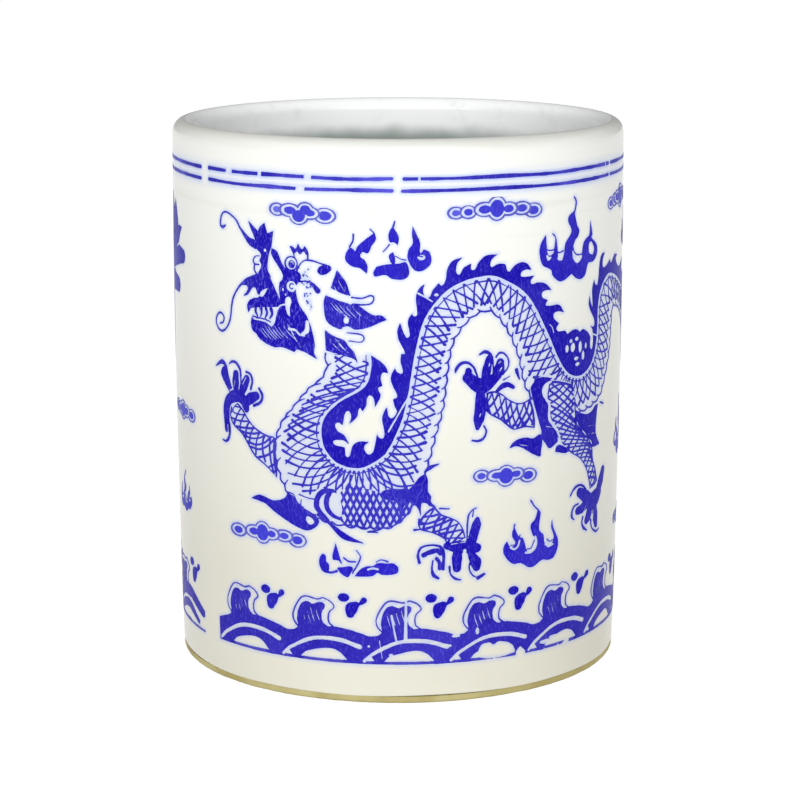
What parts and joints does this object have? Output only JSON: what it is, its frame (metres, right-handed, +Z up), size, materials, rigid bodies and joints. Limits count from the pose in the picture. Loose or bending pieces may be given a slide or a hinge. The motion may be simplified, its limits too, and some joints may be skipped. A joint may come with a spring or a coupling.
{
  "type": "brush holder pot",
  "caption": "Straight-sided porcelain pot with a rounded lip, open top, bare foot ring and cobalt dragon decoration, for standing writing brushes in.",
  "frame": {"origin": "on the desk, at the centre of the foot ring's resting face", "axes": "+Z up along the pot's axis, -Y out through the middle of the front dragon panel, +X to the right seen from the front"},
  "size_m": [0.1002, 0.1002, 0.12],
  "materials": {
    "porcelain_clay": "matt biscuit",
    "bare_foot": "matt unglazed, tan",
    "white_glaze": "glossy",
    "cobalt_transfer": "glossy cobalt blue under clear glaze"
  },
  "bodies": {
    "root": {"wall": "porcelain_clay", "lip": "porcelain_clay", "floor_slab": "porcelain_clay", "foot_ring": "bare_foot", "outer_glaze": "white_glaze", "inner_glaze": "white_glaze", "base_glaze": "white_glaze", "dragon_transfer_front": "cobalt_transfer", "dragon_transfer_back": "cobalt_transfer", "line_strip_1": "cobalt_transfer", "line_strip_2": "cobalt_transfer", "line_strip_3": "cobalt_transfer", "line_strip_4": "cobalt_transfer", "line_strip_5": "cobalt_transfer", "line_strip_6": "cobalt_transfer"}
  },
  "joints": []
}
